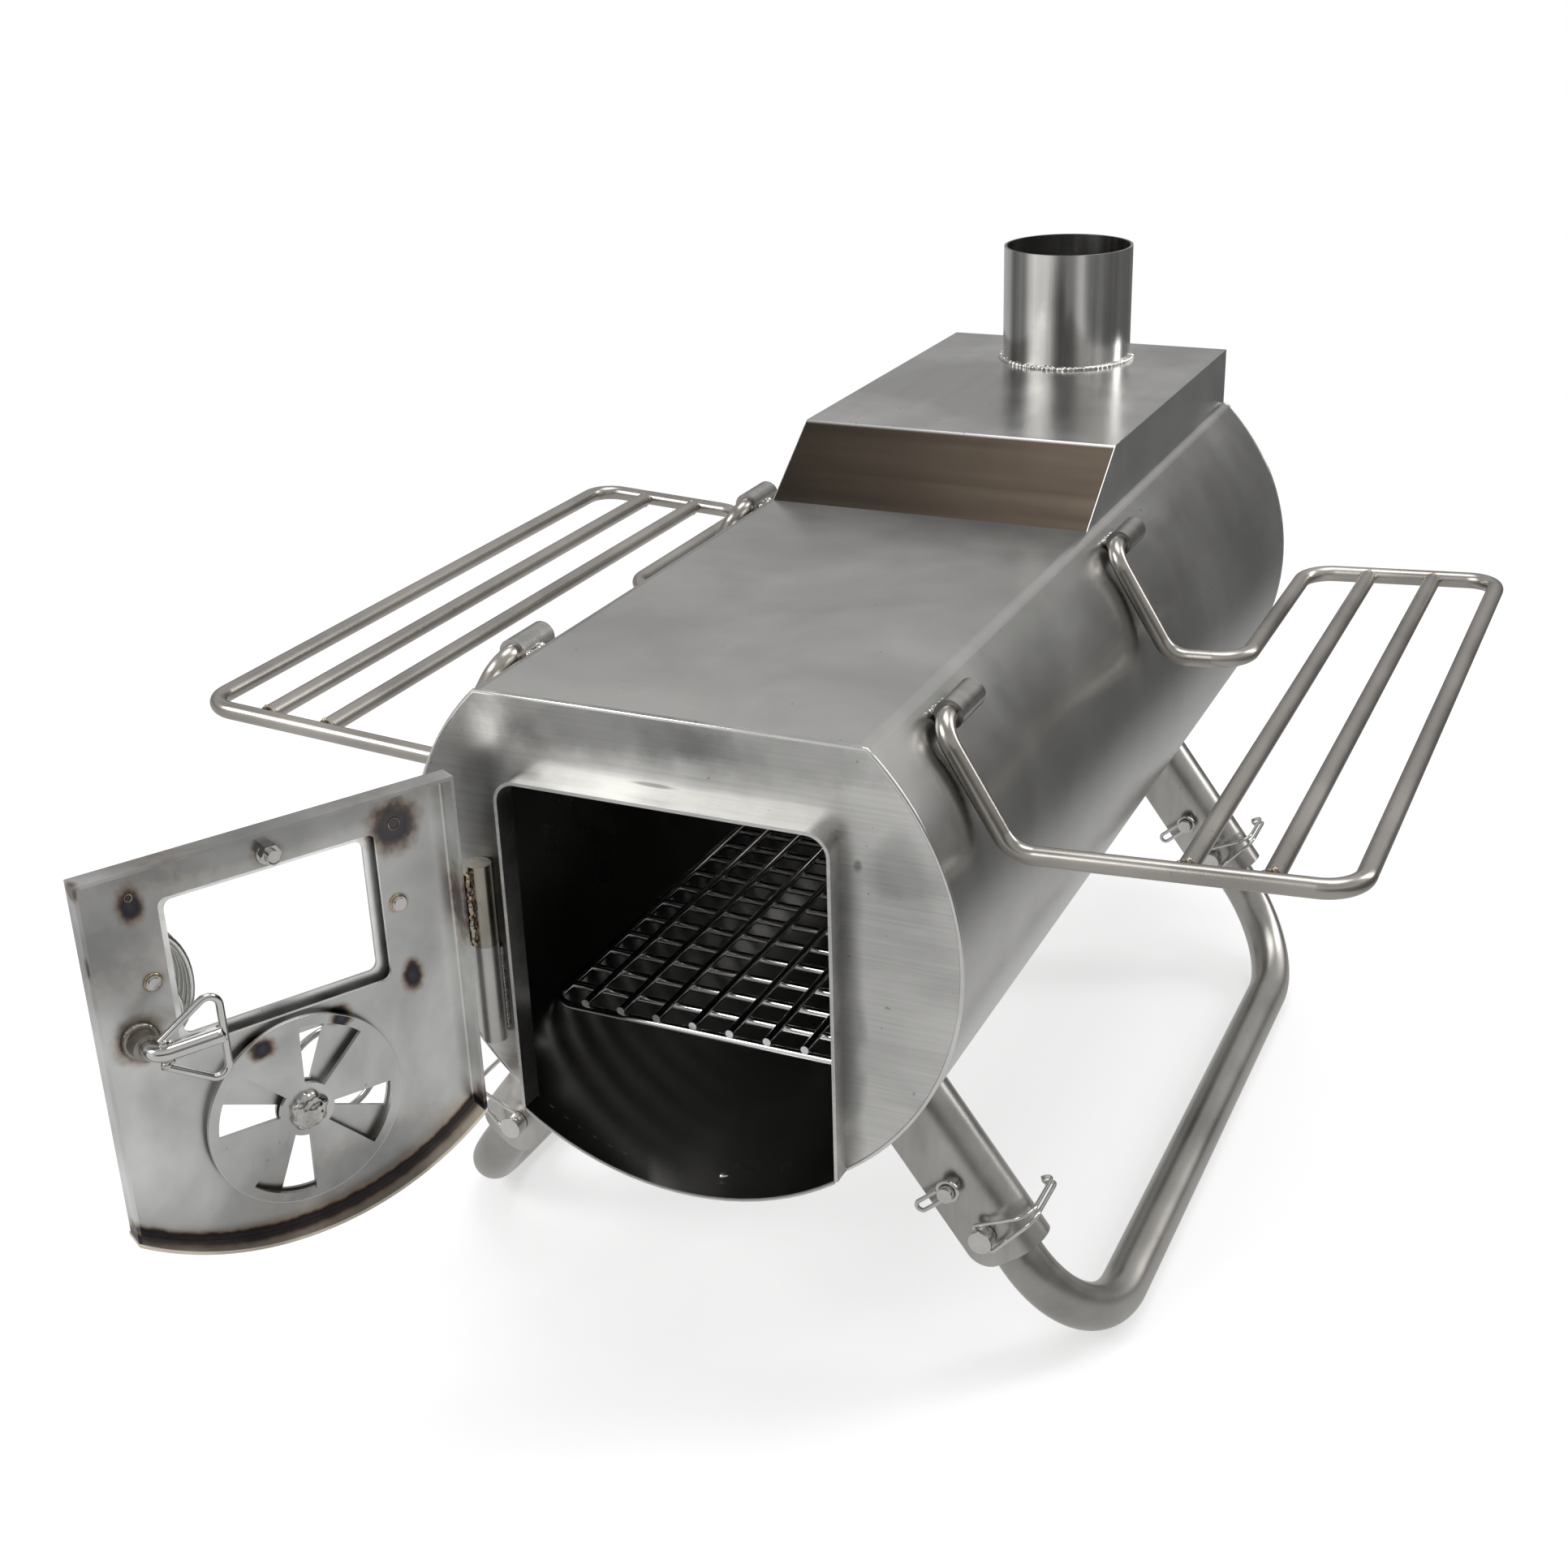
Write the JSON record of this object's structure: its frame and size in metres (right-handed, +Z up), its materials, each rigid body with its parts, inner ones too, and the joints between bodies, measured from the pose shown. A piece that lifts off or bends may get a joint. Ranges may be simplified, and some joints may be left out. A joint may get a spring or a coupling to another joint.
{
  "type": "tent wood stove",
  "caption": "Stainless tent wood stove: flat-topped barrel firebox on folding tube legs, with rod side racks, smoke box, flue collar and an open windowed door.",
  "frame": {"origin": "centre of the bounding box on the ground, with the door open as stored", "axes": "+Z up along the flue collar, +Y from the door to the back plate, +X to the right side seen from the door"},
  "size_m": [0.4274, 0.566, 0.3284],
  "materials": {
    "brushed_sheet": "satin brushed stainless sheet",
    "polished_collar": "bright stainless with drawn streaks",
    "door_sheet": "satin stainless sheet",
    "heat_tinted_strip": "stainless burnt brown by welding",
    "window_glass": "clear",
    "leg_tube": "satin stainless tube",
    "rack_rod": "semi-bright stainless rod",
    "grate_wire": "bright wire",
    "welded_fittings": "stainless tinted by welding",
    "bright_pins_and_wire": "bright"
  },
  "bodies": {
    "stove": {"barrel_shell": "brushed_sheet", "front_plate": "brushed_sheet", "back_plate": "brushed_sheet", "smoke_box": "brushed_sheet", "flue_collar": "polished_collar", "right_front_sleeve": "rack_rod", "right_rear_sleeve": "rack_rod", "left_front_sleeve": "rack_rod", "left_rear_sleeve": "rack_rod", "right_front_bracket": "leg_tube", "right_rear_bracket": "leg_tube", "left_front_bracket": "leg_tube", "left_rear_bracket": "leg_tube", "right_front_pivot_pin": "bright_pins_and_wire", "right_rear_pivot_pin": "bright_pins_and_wire", "left_front_pivot_pin": "bright_pins_and_wire", "left_rear_pivot_pin": "bright_pins_and_wire", "right_front_cotter": "bright_pins_and_wire", "right_rear_cotter": "bright_pins_and_wire", "left_front_cotter": "bright_pins_and_wire", "left_rear_cotter": "bright_pins_and_wire", "hinge_knuckle_lower": "welded_fittings", "hinge_pin": "bright_pins_and_wire"},
    "grate": {"grate_border": "grate_wire", "grate_long_wires": "grate_wire", "grate_cross_wires": "grate_wire"},
    "door": {"door_panel": "door_sheet", "door_bottom_strip": "heat_tinted_strip", "window_glass": "window_glass", "window_retainer": "door_sheet", "window_bolts": "bright_pins_and_wire", "hinge_knuckle_upper": "welded_fittings", "latch_boss": "welded_fittings"},
    "latch": {"latch_shaft": "bright_pins_and_wire", "latch_catch": "bright_pins_and_wire", "latch_handle": "bright_pins_and_wire"},
    "damper": {"damper_disc": "door_sheet", "damper_hub": "bright_pins_and_wire", "damper_handle": "bright_pins_and_wire"},
    "right_rack": {"right_rack_frame": "rack_rod", "right_rack_bars": "rack_rod"},
    "right_leg": {"right_leg": "leg_tube"},
    "left_rack": {"left_rack_frame": "rack_rod", "left_rack_bars": "rack_rod"},
    "left_leg": {"left_leg": "leg_tube"},
    "right_front_lock": {"right_front_lock_pin": "bright_pins_and_wire", "right_front_bail": "bright_pins_and_wire"},
    "right_rear_lock": {"right_rear_lock_pin": "bright_pins_and_wire", "right_rear_bail": "bright_pins_and_wire"},
    "left_front_lock": {"left_front_lock_pin": "bright_pins_and_wire", "left_front_bail": "bright_pins_and_wire"},
    "left_rear_lock": {"left_rear_lock_pin": "bright_pins_and_wire", "left_rear_bail": "bright_pins_and_wire"}
  },
  "joints": [
    {"name": "door_swing", "type": "hinge", "parent": "stove", "child": "door", "pos_m": [-0.0704, -0.16467, 0.16116], "axis": [0, 0, -1], "range_deg": [-119, 21]},
    {"name": "latch_turn", "type": "hinge", "parent": "door", "child": "latch", "pos_m": [-0.13125, -0.26723, 0.16636], "axis": [0.8746, -0.4848, 0], "range_deg": [0, 180]},
    {"name": "damper_turn", "type": "hinge", "parent": "door", "child": "damper", "pos_m": [-0.10759, -0.22455, 0.12306], "axis": [-0.8746, 0.4848, 0], "range_deg": [-23.5, 21.5]},
    {"name": "grate_slide", "type": "slide", "parent": "stove", "child": "grate", "axis": [0, 1, 0], "range_m": [-0.033, 0.034]},
    {"name": "right_rack_fold", "type": "hinge", "parent": "stove", "child": "right_rack", "pos_m": [0.07971, -0.00997, 0.24837], "axis": [0, -1, 0], "range_deg": [0, 135]},
    {"name": "left_rack_fold", "type": "hinge", "parent": "stove", "child": "left_rack", "pos_m": [-0.07971, -0.00997, 0.24837], "axis": [0, 1, 0], "range_deg": [0, 135]},
    {"name": "right_leg_fold", "type": "hinge", "parent": "stove", "child": "right_leg", "pos_m": [0.08182, -0.11077, 0.07403], "axis": [0, 1, 0], "range_deg": [0, 110]},
    {"name": "left_leg_fold", "type": "hinge", "parent": "stove", "child": "left_leg", "pos_m": [-0.08182, -0.11077, 0.07403], "axis": [0, -1, 0], "range_deg": [0, 122]},
    {"name": "right_front_lock_pull", "type": "slide", "parent": "stove", "child": "right_front_lock", "axis": [0, -1, 0], "range_m": [0, 0.024]},
    {"name": "right_rear_lock_pull", "type": "slide", "parent": "stove", "child": "right_rear_lock", "axis": [0, -1, 0], "range_m": [0, 0.024]},
    {"name": "left_front_lock_pull", "type": "slide", "parent": "stove", "child": "left_front_lock", "axis": [0, -1, 0], "range_m": [0, 0.024]},
    {"name": "left_rear_lock_pull", "type": "slide", "parent": "stove", "child": "left_rear_lock", "axis": [0, -1, 0], "range_m": [0, 0.024]}
  ]
}
